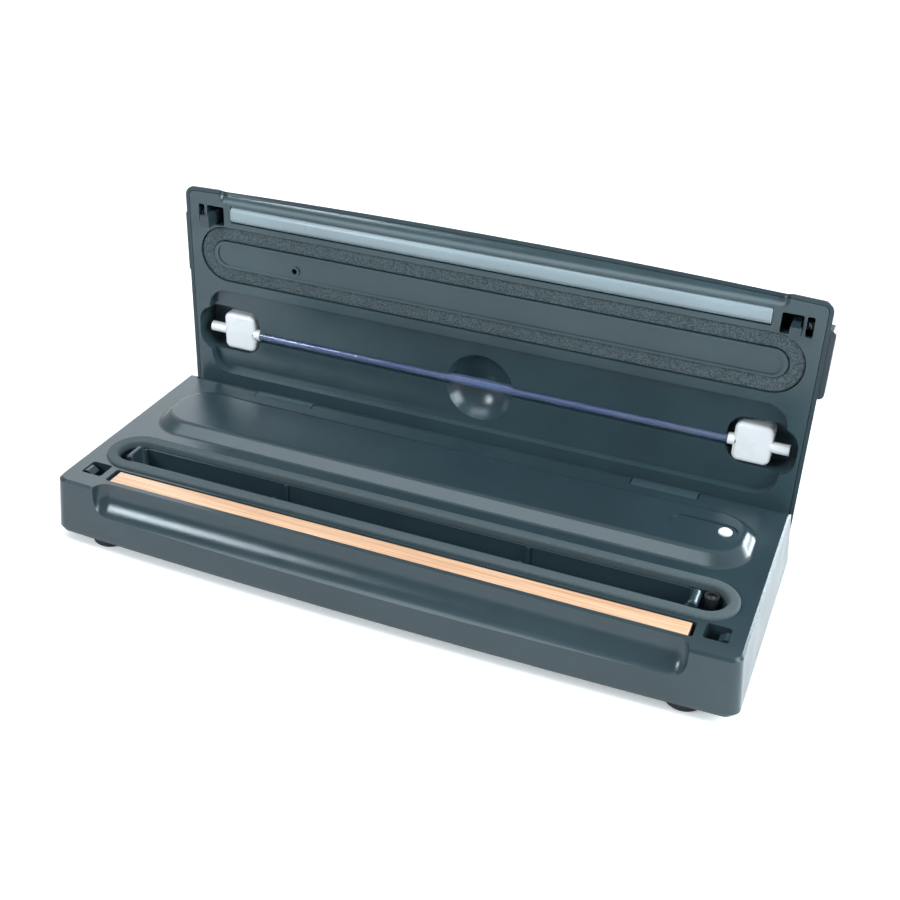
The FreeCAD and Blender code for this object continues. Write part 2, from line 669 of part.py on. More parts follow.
def make_tube():
    """The pump's hose: along X from the pump, round one bend, then forward to the port's elbow."""
    start = Vector(PUMP_RIGHT, PUMP_LINE, TUBE_LEVEL)
    bend = 24.0
    elbow_gap = 5.5
    inset = bend * (1 - math.sqrt(0.5))
    first = Vector(PORT_X - bend, PUMP_LINE, TUBE_LEVEL)
    half_way = Vector(PORT_X - inset, PUMP_LINE - inset, TUBE_LEVEL)
    second = Vector(PORT_X, PUMP_LINE - bend, TUBE_LEVEL)
    last = Vector(PORT_X, PORT_LINE + elbow_gap, TUBE_LEVEL)
    route = Part.Wire([Part.makeLine(start, first), Part.Arc(first, half_way, second).toShape(),
                       Part.makeLine(second, last)])
    tubes = []
    for radius in (NIPPLE_RADIUS + 1, NIPPLE_RADIUS):
        section = Part.Wire([Part.Circle(start, Vector(1, 0, 0), radius).toShape()])
        tubes.append(route.makePipeShell([section], True, False))
    return tubes[0].cut(tubes[1])


moulded("vacuum_tube", make_tube())
ELBOW_FOOT = TUBE_TEXT + " - 2.5"
elbow_outer = join("elbow_outer",
                   rod("elbow_up", "z", "port_radius + 0.5", PORT_X_TEXT, PORT_LINE_TEXT, ELBOW_FOOT,
                       "%s - (%s)" % (CEILING_TEXT, ELBOW_FOOT)),
                   rod("elbow_along", "y", str(NIPPLE_RADIUS), PORT_X_TEXT, PORT_LINE_TEXT, TUBE_TEXT, "16"))
elbow_bore = rod("elbow_bore", "z", STEM_RADIUS, PORT_X_TEXT, PORT_LINE_TEXT, STEM_FOOT, "20")
node(carve("port_elbow", elbow_outer, elbow_bore), "port_elbow")
GLAND_BODY = str(GLAND_RADIUS)
gland = turned("power_gland", [("2", "0"), ("3.6", "0"), ("3.6", "2"), (GLAND_BODY, "2"), (GLAND_BODY, "5.2"),
                               ("2", "5.2")])
gland.Placement = Placement(Vector(GLAND_X, REAR + 2, GLAND_LEVEL), Rotation(Vector(1, 0, 0), 90))
node(gland, "power_gland")

# Base: hinge pins and the round switch on the hump
for side, sign in (("left", "-"), ("right", "")):
    pin = rod("hinge_pin_" + side, "x", "pin_radius - 0.01", "%s%s - pin_length / 2" % (sign, HINGE_X_TEXT),
              REAR_TEXT + " - hinge_inset", "deck_height - hinge_inset", "pin_length")
    node(pin, "hinge_pin_" + side)
FLANGE_RADIUS = "switch_radius + 1.6"
button = turned("round_button", [("0", "0"), (FLANGE_RADIUS, "0"), (FLANGE_RADIUS, "1.4"),
                                 ("switch_radius", "1.4"), ("switch_radius", "4"),
                                 ("switch_radius - 0.8", "4.7"), ("0", "4.7")])
place(button, SWITCH_X_TEXT, SWITCH_LINE_TEXT, "deck_height + hump_height - wall - 1.6")
node(button, "round_button")
CASE_TOP = "deck_height - 1.2"
switch = join("round_switch",
              block("switch_case", SWITCH_X_TEXT + " - 4", SWITCH_X_TEXT + " + 4", SWITCH_LINE_TEXT + " - 4",
                    SWITCH_LINE_TEXT + " + 4", "deck_height - 4", CASE_TOP),
              rod("switch_stem", "z", "1.5", SWITCH_X_TEXT, SWITCH_LINE_TEXT, CASE_TOP, "0.7"))
node(switch, "round_switch")

# Lid, drawn closed and then turned open about the hinge axis
LID_FRONT = FRONT + 2.3
LID_REAR = REAR + 0.4
LID_HALF = HALF + 0.6
FLOOR = LID_PLANE + d.recess_depth
SLOT_NEAR = STRIP_LINE + 3.2
SLOT_FAR = SLOT_NEAR + d.press_length
SLOT_LOW = LID_PLANE + 3.4
SLOT_HIGH = SLOT_LOW + d.press_height
BUTTON_SPOTS = {"seal_button": -d.button_spacing, "vacuum_button": 0.0, "stop_button": d.button_spacing}
LENS_SPOTS = (-d.button_spacing / 2, d.button_spacing / 2)
LENS_RADIUS = 1.9


def lid_outline(inset, share, level):
    """The lid's outline at a share of the way from its rim to its top."""
    front = LID_FRONT + inset + 15 * share
    rear = LID_REAR - inset - 4 * share
    radius = d.corner_radius - inset + (inset + 2) * share
    return bowed_outline(LID_HALF - inset - 3 * share, front, rear, d.front_bow, radius, level)


def lid_form(inset, low, bevel):
    """The lid's form with a bevelled top edge, drawn in by a wall's thickness where it is asked for."""
    rim = LID_PLANE + 1.2
    high = LID_TOP - inset
    shoulder = 1 - bevel / (high - rim)
    sections = [lid_outline(inset, 0, low), lid_outline(inset, 0, rim)]
    sections.append(lid_outline(inset, shoulder, high - bevel))
    sections.append(lid_outline(inset + bevel, 1, high))
    return Part.makeLoft(sections, True, True)


def lid_shell():
    """The outside of the cover, with its top edge rounded."""
    rim = LID_PLANE + 1.2
    sections = [lid_outline(0, 0, LID_PLANE), lid_outline(0, 0, rim), lid_outline(0, 1, LID_TOP)]
    form = Part.makeLoft(sections, True, True)
    return form.makeFillet(8.0, level_edges(form, LID_TOP))


LID_SPACE = lid_form(d.lid_wall, LID_PLANE - 3, 5.0)
PANEL_SPACE = lid_form(d.lid_wall + d.panel_gap, LID_PLANE, 5.0)


def lid_scoop(grow):
    """The finger scoop along the lid's front edge, or with a growth the skin behind it."""
    return scoop_tool(9.0 + grow, FRONT + 1.6, LID_PLANE - 4.0, HALF - 22 + grow, 4.0 + grow)


def make_lid_cover():
    shell = lid_shell().cut(LID_SPACE).cut(lid_scoop(0))
    shell = shell.cut(both_sides(box(LID_HALF - 6, LID_HALF + 9, SLOT_NEAR - 0.3, SLOT_FAR + 0.3,
                                     SLOT_LOW - 0.3, SLOT_HIGH + 0.3)))
    half_long = d.button_length / 2 + 0.25
    half_wide = d.button_width / 2 + 0.25
    for x in BUTTON_SPOTS.values():
        shell = shell.cut(rounded_block(x - half_long, x + half_long, BUTTON_LINE - half_wide,
                                        BUTTON_LINE + half_wide, LID_TOP - 6, LID_TOP + 9, 5.5))
    for x in LENS_SPOTS:
        shell = shell.cut(post(x, BUTTON_LINE, LID_TOP - 6, LID_TOP + 9, LENS_RADIUS + 0.1))
    return shell


moulded("lid_cover", make_lid_cover(), True)


# Lid: inner panel with its recess, hose pockets, finger dome, troughs and knuckles
SKIN = d.panel_thickness - 0.5
POCKET_TOP = FLOOR + d.connector_height + 2
CHANNEL_HALF = CONNECTOR_X - d.connector_width / 2 - 0.45
GASKET_TOP = LID_PLANE + d.gasket_height
STRIP_TOP = LID_PLANE + 4.0
HALF_PRESSER = d.strip_length / 2 - 1.7
PRESSER_REACH = 5.0
HOLE_X = 71.5 - HALF
HOLE_LINE = CHAMBER_LINE + 2.1
HOLE_RADIUS = 1.8
LIP_INSET = d.foam_band + 1.9
STOP_NEAR = LATCH_X + 3.4
STOP_FAR = LATCH_X + 5.0


def dome(grow):
    radius = (d.dome_radius ** 2 + d.dome_depth ** 2) / (2 * d.dome_depth)
    centre = Vector(0, HOSE_LINE + 1.5, FLOOR + d.dome_depth - radius)
    reach = d.dome_radius * 2
    cap = box(-reach, reach, centre.y - reach, centre.y + reach, LID_PLANE + 0.5, LID_TOP)
    return Part.makeSphere(radius + grow, centre).common(cap)


def recess(grow, low, high):
    half = HALF - 11.4 + grow
    return rounded_block(-half, half, HUMP_FRONT - 1.8 - grow, HUMP_REAR + 0.5 + grow, low, high, 13 + grow)


def pocket(grow, high):
    left = CONNECTOR_X - d.connector_width / 2 - 4.05
    near = HOSE_LINE - d.connector_depth / 2 - 4.9
    far = HOSE_LINE + d.connector_depth / 2 + 0.9
    right = HALF - 3.8
    low = LID_PLANE - 1 + grow
    return rounded_block(left - grow, right + min(grow, 1), near - grow, far + grow, low, high, 11)


def hose_channel(grow):
    radius = d.hose_radius + 0.6 + grow
    axis = LID_PLANE + d.hose_depth
    mouth = box(-CHANNEL_HALF, CHANNEL_HALF, HOSE_LINE - radius, HOSE_LINE + radius, LID_PLANE + 1, axis)
    return bar(-CHANNEL_HALF, CHANNEL_HALF, HOSE_LINE, axis, radius).fuse(mouth)


def presser_trough(grow, low, high):
    half = HALF_PRESSER + 0.3 + grow
    reach = PRESSER_REACH + 0.2 + grow * 0.9
    return rounded_block(-half, half, STRIP_LINE - reach, STRIP_LINE + reach, low, high, 1 + grow / 2)


def latch_slot(left, right):
    slot = rounded_block(left, right, LATCH_LINE - 7.5, LATCH_LINE + 4.1, LID_PLANE - 1, LID_PLANE + 14, 1)
    return both_sides(slot)


def make_knuckle():
    inner = HINGE_X - d.knuckle_width / 2
    outer = HINGE_X + d.knuckle_width / 2
    knuckle = bar(inner, outer, HINGE.y, HINGE.z, KNUCKLE_RADIUS)
    knuckle = knuckle.fuse(box(inner, outer, HINGE.y - 4, HINGE.y + 6, HINGE.z, LID_PLANE + 1))
    return knuckle.cut(bar(inner - 1, outer + 1, HINGE.y, HINGE.z, d.pin_radius + 0.05))


def make_lid_panel():
    spring_stop = box(STOP_NEAR, STOP_FAR, LATCH_LINE - 4, LATCH_LINE + 4.1, LID_PLANE + 1, LID_PLANE + 9.8)
    adds = [
        recess(SKIN, LID_PLANE, FLOOR + SKIN),
        both_sides(pocket(SKIN, POCKET_TOP + SKIN)),
        dome(SKIN),
        hose_channel(SKIN),
        stadium(GASKET_LENGTH + 6, d.gasket_width + 4, CHAMBER_LINE, LID_PLANE, GASKET_TOP + SKIN),
        presser_trough(SKIN, LID_PLANE, STRIP_TOP + SKIN),
        both_sides(spring_stop),
        lid_scoop(SKIN),
    ]
    cuts = [
        recess(0, LID_PLANE - 1, FLOOR),
        both_sides(pocket(0, POCKET_TOP)),
        dome(0),
        hose_channel(0),
        ring(GASKET_LENGTH + 2, d.gasket_width + 0.6, d.foam_band + 0.6, CHAMBER_LINE, LID_PLANE - 1,
             GASKET_TOP),
        stadium(GASKET_LENGTH - 2 * LIP_INSET, d.gasket_width - 2 * LIP_INSET, CHAMBER_LINE, LID_PLANE - 1,
                LID_PLANE + 0.8),
        presser_trough(0, LID_PLANE - 1, STRIP_TOP),
        latch_slot(LATCH_X - 8, STOP_NEAR),
        latch_slot(STOP_FAR, STOP_FAR + 4),
        lid_scoop(0),
    ]
    slab = box(-HALF, HALF, FRONT, REAR + 9, LID_PLANE, LID_PLANE + d.panel_thickness)
    panel = PANEL_SPACE.common(slab)
    for add in adds:
        panel = panel.fuse(add.common(PANEL_SPACE))
    for cut in cuts:
        panel = panel.cut(cut)
    panel = panel.fuse(post(HOLE_X, HOLE_LINE, LID_PLANE - 0.4, LID_PLANE + 1, HOLE_RADIUS + 1.1))
    panel = panel.cut(post(HOLE_X, HOLE_LINE, LID_PLANE - 1, LID_PLANE + 9, HOLE_RADIUS))
    return panel.fuse(both_sides(make_knuckle())).removeSplitter()


moulded("lid_inner_panel", make_lid_panel(), True)


# Lid: foam gasket and silicone strip
def make_upper_gasket():
    low = LID_PLANE + 0.9
    body = ring(GASKET_LENGTH + 1.4, d.gasket_width, d.foam_band, CHAMBER_LINE, low, GASKET_TOP)
    return body.makeChamfer(0.8, level_edges(body, low))


def make_silicone_strip():
    low = LID_PLANE - 1.2
    body = rounded_block(-HALF_PRESSER, HALF_PRESSER, STRIP_LINE - PRESSER_REACH, STRIP_LINE + PRESSER_REACH,
                         low, STRIP_TOP, 0.8)
    return body.makeFillet(0.5, level_edges(body, low))


moulded("upper_gasket", make_upper_gasket(), True)
moulded("silicone_strip", make_silicone_strip(), True)

# Lid: control board, buttons and indicator lenses
LID_BOARD_TOP = LID_TOP - 8.6
BOARD_HALF = d.button_spacing + 30


def make_lid_board():
    top = LID_BOARD_TOP
    board = box(-BOARD_HALF, BOARD_HALF, BUTTON_LINE - 13, BUTTON_LINE + 13, top - 1.6, top)
    for x in BUTTON_SPOTS.values():
        board = board.fuse(box(x - 3, x + 3, BUTTON_LINE - 3, BUTTON_LINE + 3, top, top + 2))
    for x in (6 - BOARD_HALF, BOARD_HALF - 6):
        board = board.cut(post(x, BUTTON_LINE, top - 5, top + 5, 1.5))
    return board


def make_button(x):
    half_long = d.button_length / 2
    half_wide = d.button_width / 2
    top = LID_TOP + d.button_rise
    cap = rounded_block(x - half_long, x + half_long, BUTTON_LINE - half_wide, BUTTON_LINE + half_wide,
                        LID_TOP - 3.6, top, 5.3)
    cap = cap.makeChamfer(0.6, level_edges(cap, top))
    flange = rounded_block(x - half_long - 1.2, x + half_long + 1.2, BUTTON_LINE - half_wide - 1.2,
                           BUTTON_LINE + half_wide + 1.2, LID_TOP - 3.8, LID_TOP - 2.4, 5)
    return cap.fuse(flange).fuse(post(x, BUTTON_LINE, LID_BOARD_TOP + 3.2, LID_TOP - 3.6, 2.0))


moulded("lid_board", make_lid_board(), True)
for label, x in BUTTON_SPOTS.items():
    moulded(label, make_button(x), True)
LENSES = [post(x, BUTTON_LINE, LID_BOARD_TOP, LID_TOP + 0.4, LENS_RADIUS) for x in LENS_SPOTS]
moulded("indicator_lenses", Part.makeCompound(LENSES), True)


# Lid: side latches and their springs
SPRING_LEVEL = LID_PLANE + 7.0
SPRING_RADIUS = 2.2
WIRE_RADIUS = 0.35
SPRING_TURNS = 3
BAR_DEPTH = 4.2


def make_latch():
    """The press bar in the lid's side with its arm, hook and the nose that holds under the catch."""
    left = LATCH_X - d.latch_width / 2
    right = LATCH_X + d.latch_width / 2
    near = LATCH_LINE - d.latch_depth / 2
    far = LATCH_LINE + d.latch_depth / 2
    reach = LID_HALF - BAR_DEPTH
    low = LID_PLANE - 8
    press_bar = rounded_block(reach, LID_HALF + 3, SLOT_NEAR, SLOT_FAR, SLOT_LOW, SLOT_HIGH, 3)
    lip = box(reach - 2, reach - 0.2, SLOT_NEAR + 3, SLOT_FAR - 3, SLOT_HIGH - 1.5, SLOT_HIGH + 1.5)
    bridge = box(reach - 2, reach + 1, SLOT_NEAR + 3, SLOT_FAR - 3, SLOT_HIGH - 1.5, SLOT_HIGH)
    arm = box(left, reach + 1, SLOT_NEAR + 0.2, far, SLOT_HIGH - 2, SLOT_HIGH)
    hook = box(left, right, near, far, low, SLOT_HIGH)
    nose = box(right - 0.5, right + 1.2, near, far, low, low + 2.5)
    return press_bar.fuse(lip).fuse(bridge).fuse(arm).fuse(hook).fuse(nose).removeSplitter()


def biarc(first, first_way, last, last_way):
    """Two tangent arcs from one point and direction to another."""
    chord = last - first
    a = 2 * (first_way.dot(last_way) - 1)
    b = -2 * chord.dot(first_way + last_way)
    reach = (-b - math.sqrt(b * b - 4 * a * chord.dot(chord))) / (2 * a)
    near = first + first_way * reach
    far = last - last_way * reach
    middle = (near + far) * 0.5
    arcs = []
    for start, corner, end in ((first, near, middle), (middle, far, last)):
        centre = (start + end) * 0.5
        half = (end - start).Length / 2
        swing = math.acos(half / reach)
        top = centre + (corner - centre).normalize() * half * math.tan(swing / 2)
        arcs.append(Part.Arc(start, top, end).toShape())
    return arcs


def spring_point(start, end, turn):
    angle = 2 * math.pi * turn
    share = turn / SPRING_TURNS
    return Vector(start + (end - start) * share, LATCH_LINE + SPRING_RADIUS * math.cos(angle),
                  SPRING_LEVEL + SPRING_RADIUS * math.sin(angle))


def spring_way(start, end, turn):
    angle = 2 * math.pi * turn
    pace = (end - start) / (SPRING_TURNS * 2 * math.pi)
    return Vector(pace, -SPRING_RADIUS * math.sin(angle), SPRING_RADIUS * math.cos(angle)).normalize()


def make_spring():
    start = STOP_FAR + WIRE_RADIUS
    end = LID_HALF - BAR_DEPTH - WIRE_RADIUS
    edges = []
    for step in range(SPRING_TURNS * 4):
        low = step / 4
        high = low + 0.25
        edges += biarc(spring_point(start, end, low), spring_way(start, end, low),
                       spring_point(start, end, high), spring_way(start, end, high))
    section = Part.Circle(spring_point(start, end, 0), spring_way(start, end, 0), WIRE_RADIUS).toShape()
    gap = (end - start) / SPRING_TURNS - 2 * WIRE_RADIUS
    print("least gap between the spring's turns, mm:", round(gap, 3))
    return Part.Wire(edges).makePipeShell([Part.Wire([section])], True, False)


LATCH = make_latch()
SPRING = make_spring()
for side, turn in (("left", mirrored), ("right", lambda shape: shape)):
    moulded("latch_slider_" + side, turn(LATCH), True)
    moulded("latch_spring_" + side, turn(SPRING), True)


# Lid: the loose accessory hose with its two end connectors
def make_connector():
    axis = LID_PLANE + d.hose_depth
    left = CONNECTOR_X - d.connector_width / 2
    right = CONNECTOR_X + d.connector_width / 2
    near = HOSE_LINE - d.connector_depth / 2
    far = HOSE_LINE + d.connector_depth / 2
    body = rounded_block(left, right, near, far, FLOOR, FLOOR + d.connector_height, 4)
    body = body.makeFillet(2.5, level_edges(body, FLOOR))
    body = body.fuse(bar(right - 1, right + 9.5, HOSE_LINE, axis, d.hose_radius + 0.3))
    body = body.fuse(bar(left - 3, left + 1, HOSE_LINE, axis, d.hose_radius + 0.5))
    body = body.cut(bar(right - 2, right + 10, HOSE_LINE, axis, d.hose_radius - 1.3))
    return body.cut(bar(left - 4, left + 5, HOSE_LINE, axis, d.hose_radius))


CONNECTOR = make_connector()
moulded("hose_connector_left", mirrored(CONNECTOR), True)
moulded("hose_connector_right", CONNECTOR, True)
HOSE_HALF = "(%s - connector_width / 2 + 5)" % CONNECTOR_X_TEXT
HOSE_AXIS = "deck_height + lid_gap + hose_depth"
hose_outer = rod("hose_outer", "x", "hose_radius", "-" + HOSE_HALF, HOSE_TEXT, HOSE_AXIS, "2 * " + HOSE_HALF)
hose_bore = rod("hose_bore", "x", "hose_radius - 1", "-%s - 1" % HOSE_HALF, HOSE_TEXT, HOSE_AXIS,
                "2 * %s + 2" % HOSE_HALF)
node(carve("vacuum_hose", hose_outer, hose_bore), "vacuum_hose", True)

# Checks, then one file for each sub-part
doc.recompute()
for item in doc.Objects:
    if "Invalid" in item.State or "Error" in item.State:
        raise RuntimeError("failed object: " + item.Label)
os.makedirs("parts", exist_ok=True)
for item in nodes:
    if item.Shape.isNull() or not item.Shape.isValid():
        raise RuntimeError("bad shape: " + item.Label)
for item in nodes:
    item.Shape.exportStep("parts/%s.step" % item.Label)
    limits = item.Shape.BoundBox
    spans = (limits.XMin, limits.XMax, limits.YMin, limits.YMax, limits.ZMin, limits.ZMax)
    volume = round(item.Shape.Volume / 1000, 2)
    print(item.Label, len(item.Shape.Solids), volume, [round(span, 1) for span in spans])
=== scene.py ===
import json
import math

import bmesh
import bpy
from mathutils import Matrix, Vector


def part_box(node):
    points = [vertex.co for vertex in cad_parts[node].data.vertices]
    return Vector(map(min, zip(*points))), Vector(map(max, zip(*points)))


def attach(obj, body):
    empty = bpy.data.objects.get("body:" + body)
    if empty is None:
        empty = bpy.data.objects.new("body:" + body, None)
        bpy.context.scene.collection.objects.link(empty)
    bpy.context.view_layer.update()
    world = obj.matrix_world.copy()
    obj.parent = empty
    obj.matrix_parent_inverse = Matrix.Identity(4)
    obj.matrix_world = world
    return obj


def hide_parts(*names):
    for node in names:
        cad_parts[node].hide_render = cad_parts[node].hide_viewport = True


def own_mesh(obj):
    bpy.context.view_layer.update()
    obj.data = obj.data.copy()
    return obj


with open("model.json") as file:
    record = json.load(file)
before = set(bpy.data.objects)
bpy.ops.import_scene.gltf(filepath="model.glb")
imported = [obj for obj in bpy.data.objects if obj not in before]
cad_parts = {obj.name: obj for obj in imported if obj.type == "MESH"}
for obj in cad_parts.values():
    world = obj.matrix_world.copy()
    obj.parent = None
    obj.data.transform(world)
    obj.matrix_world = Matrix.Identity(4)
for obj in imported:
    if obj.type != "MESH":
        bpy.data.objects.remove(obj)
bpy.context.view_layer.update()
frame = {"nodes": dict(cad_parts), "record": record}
scene = bpy.context.scene
scene.view_settings.view_transform = "Standard"

MM = 0.001
QUARTER_TURN = math.radians(90)
JOINTS = {joint["name"]: joint for joint in frame["record"]["behaviour"]["joints"]}
HINGE = Vector(JOINTS["lid_hinge"]["pos_m"])
LID_SWING = Matrix.Rotation(-QUARTER_TURN, 4, "X")
TURN_OPEN = Matrix.Translation(HINGE) @ LID_SWING @ Matrix.Translation(-HINGE)


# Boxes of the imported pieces

def size_box(node):
    low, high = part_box(node)
    return Vector(low), Vector(high)


def closed_box(node):
    """The box of a lid piece with the lid turned down."""
    low, high = size_box(node)
    turn_back = TURN_OPEN.inverted()
    corners = [turn_back @ low, turn_back @ high]
    return (Vector(min(corner[i] for corner in corners) for i in range(3)),
            Vector(max(corner[i] for corner in corners) for i in range(3)))


# Materials

CLOUD_SCALE = 14
SMEAR_SCALE = 55
GLOSSY_SIDE = 0.03
DULL_SIDE = 0.04
GRAIN_DEPTH = 0.0002
FOAM_SCALE = 1500
FOAM_DEPTH = 0.0004
STREAK_SCALE = 60
STREAK_STRETCH = (0.35, 30, 30)
TAPE_DARK = (0.70, 0.36, 0.20)
TAPE_LIGHT = (0.96, 0.60, 0.39)
WEAVE_SCALE = 900
WEAVE_STRETCH = (1, 6, 1)
WEAVE_DEPTH = 0.0003
TUBE_HAZE_SCALE = 90
TUBE_STRETCH = (0.3, 1, 1)
TUBE_DARK = (0.46, 0.57, 0.89)
TUBE_LIGHT = (0.64, 0.74, 0.97)
BRUSH_SCALE = 400
LENS_HAZE_SCALE = 300
LENS_DARK = (0.72, 0.82, 0.84)
LENS_LIGHT = (0.88, 0.94, 0.95)


def new_material(name):
    material = bpy.data.materials.new(name)
    material.use_nodes = True
    tree = material.node_tree
    return material, tree, tree.nodes["Principled BSDF"]


def add_node(tree, kind, **values):
    node = tree.nodes.new(kind)
    for key, value in values.items():
        if key in node.inputs.keys():
            node.inputs[key].default_value = value
        else:
            setattr(node, key, value)
    return node


def object_noise(tree, scale, detail=4.0, stretch=(1, 1, 1)):
    """A noise that stays on the piece, drawn out by the stretch."""
    coords = add_node(tree, "ShaderNodeTexCoord")
    mapping = add_node(tree, "ShaderNodeMapping", Scale=stretch)
    noise = add_node(tree, "ShaderNodeTexNoise", Scale=scale, Detail=detail)
    tree.links.new(coords.outputs["Object"], mapping.inputs["Vector"])
    tree.links.new(mapping.outputs["Vector"], noise.inputs["Vector"])
    return noise.outputs["Fac"]


def vary(tree, socket, noise, low, high, start=0.35, stop=0.65):
    """Lets a noise move a shader's socket between two colours."""
    ramp = add_node(tree, "ShaderNodeValToRGB")
    ends = ramp.color_ramp.elements
    ends[0].position = start
    ends[1].position = stop
    ends[0].color = (*low, 1)
    ends[1].color = (*high, 1)
    tree.links.new(noise, ramp.inputs["Fac"])
    tree.links.new(ramp.outputs["Color"], socket)


def grey(value):
    return (value, value, value)


def shade(colour, factor):
    return tuple(min(1.0, part * factor) for part in colour)


def add_bump(tree, shader, height, strength, distance):
    bump = add_node(tree, "ShaderNodeBump", Strength=strength, Distance=distance)
    tree.links.new(height, bump.inputs["Height"])
    tree.links.new(bump.outputs["Normal"], shader.inputs["Normal"])


def moulded_plastic(name, colour, rough=0.42, grain=0.25, grain_size=2600, spread=0.1, shine=0.5):
    """Moulded plastic: slight cloudiness, uneven gloss and a fine moulding texture."""
    material, tree, shader = new_material(name)
    cloud = object_noise(tree, CLOUD_SCALE, 5)
    vary(tree, shader.inputs["Base Color"], cloud, shade(colour, 1 - spread), shade(colour, 1 + spread))
    smear = object_noise(tree, SMEAR_SCALE, 6)
    vary(tree, shader.inputs["Roughness"], smear, grey(rough - GLOSSY_SIDE), grey(rough + DULL_SIDE))
    shader.inputs["Specular IOR Level"].default_value = shine
    fine = object_noise(tree, grain_size, 2)
    add_bump(tree, shader, fine, grain, GRAIN_DEPTH)
    return material


def foam_rubber(name, colour, speck):
    """Closed-cell foam: small dark and light specks with a dimpled surface."""
    material, tree, shader = new_material(name)
    cells = object_noise(tree, FOAM_SCALE, 3)
    dark = shade(colour, 1 - speck)
    light = shade(colour, 1 + speck)
    vary(tree, shader.inputs["Base Color"], cells, dark, light, start=0.4, stop=0.6)
    shader.inputs["Roughness"].default_value = 0.85
    add_bump(tree, shader, cells, 0.35, FOAM_DEPTH)
    return material


def cover_tape(name):
    """Woven heat-proof tape: peach brown with fine lengthwise streaks."""
    material, tree, shader = new_material(name)
    streaks = object_noise(tree, STREAK_SCALE, 5, STREAK_STRETCH)
    vary(tree, shader.inputs["Base Color"], streaks, TAPE_DARK, TAPE_LIGHT)
    shader.inputs["Roughness"].default_value = 0.28
    weave = object_noise(tree, WEAVE_SCALE, 2, WEAVE_STRETCH)
    add_bump(tree, shader, weave, 0.2, WEAVE_DEPTH)
    return material


def clear_tube(name):
    """Clear soft tubing with a faint blue tint."""
    material, tree, shader = new_material(name)
    haze = object_noise(tree, TUBE_HAZE_SCALE, 4, TUBE_STRETCH)
    vary(tree, shader.inputs["Base Color"], haze, TUBE_DARK, TUBE_LIGHT)
    vary(tree, shader.inputs["Roughness"], haze, grey(0.05), grey(0.12))
    shader.inputs["Transmission Weight"].default_value = 0.88
    shader.inputs["IOR"].default_value = 1.42
    return material


def metal(name, colour, rough=0.32, stretch=(1, 1, 1)):
    """Bare metal with fine brush lines."""
    material, tree, shader = new_material(name)
    brush = object_noise(tree, BRUSH_SCALE, 4, stretch)
    vary(tree, shader.inputs["Base Color"], brush, shade(colour, 0.88), shade(colour, 1.08))
    vary(tree, shader.inputs["Roughness"], brush, grey(rough - 0.06), grey(rough + 0.08))
    shader.inputs["Metallic"].default_value = 1.0
    return material


def lens_glass(name):
    """Hazy clear plastic over an indicator light."""
    material, tree, shader = new_material(name)
    haze = object_noise(tree, LENS_HAZE_SCALE, 3)
    vary(tree, shader.inputs["Base Color"], haze, LENS_DARK, LENS_LIGHT)
    shader.inputs["Transmission Weight"].default_value = 0.5
    shader.inputs["Roughness"].default_value = 0.2
    return material


CHARCOAL = (0.027, 0.046, 0.055)
FINISHES = {
    "housing": moulded_plastic("charcoal_housing", CHARCOAL, rough=0.15),
    "lid_shell": moulded_plastic("charcoal_lid_shell", CHARCOAL, rough=0.34, shine=0.35),
    "panel": moulded_plastic("charcoal_lid_panel", (0.040, 0.067, 0.078), rough=0.16),
    "underside": moulded_plastic("black_underside", (0.022, 0.023, 0.024), rough=0.6, grain=0.5),
    "foot_rubber": foam_rubber("black_foot_rubber", (0.018, 0.018, 0.018), speck=0.25),
    "steel": metal("plated_steel", (0.62, 0.62, 0.62)),
    "phenolic": moulded_plastic("brown_phenolic", (0.20, 0.11, 0.06), rough=0.5),
    "heater": metal("heater_ribbon", (0.46, 0.44, 0.41), rough=0.4, stretch=(0.2, 20, 20)),
    "tape": cover_tape("heat_tape"),
    "gasket_rubber": foam_rubber("dark_gasket", (0.072, 0.095, 0.102), speck=0.12),
    "foam": foam_rubber("speckled_foam", (0.062, 0.084, 0.091), speck=0.5),
    "silicone": moulded_plastic("pale_silicone", (0.29, 0.35, 0.38), rough=0.3, grain=0.1,
                                grain_size=1200, spread=0.05),
    "tray": moulded_plastic("charcoal_tray", CHARCOAL, rough=0.22),
    "port_plastic": moulded_plastic("black_port", (0.025, 0.027, 0.028), rough=0.3),
    "tube": clear_tube("clear_pump_tube"),
    "pump": moulded_plastic("black_pump", (0.05, 0.05, 0.05), rough=0.5),
    "motor_steel": metal("motor_case", (0.55, 0.55, 0.56), rough=0.35, stretch=(0.3, 8, 8)),
    "core_steel": metal("core_plates", (0.25, 0.25, 0.26), rough=0.5, stretch=(1, 20, 1)),
    "winding": moulded_plastic("winding_wrap", (0.66, 0.52, 0.12), rough=0.4),
    "board": moulded_plastic("green_board", (0.02, 0.16, 0.06), rough=0.35),
    "switch": moulded_plastic("black_switch", (0.03, 0.03, 0.03), rough=0.45),
    "control": moulded_plastic("grey_control", (0.10, 0.11, 0.115), rough=0.4),
    "lens": lens_glass("indicator_lens"),
    "latch": moulded_plastic("charcoal_latch", CHARCOAL, rough=0.22),
    "white_plastic": moulded_plastic("white_connector", (0.95, 0.93, 0.94), rough=0.28, grain=0.1,
                                     grain_size=1800, spread=0.02),
    "hose": clear_tube("clear_hose"),
}
for entry in frame["record"]["subparts"]:
    part = frame["nodes"][entry["node"]]
    part.data.materials.clear()
    part.data.materials.append(FINISHES[entry["material_slot"]])


# New pieces that stand for the soft solids and the springs

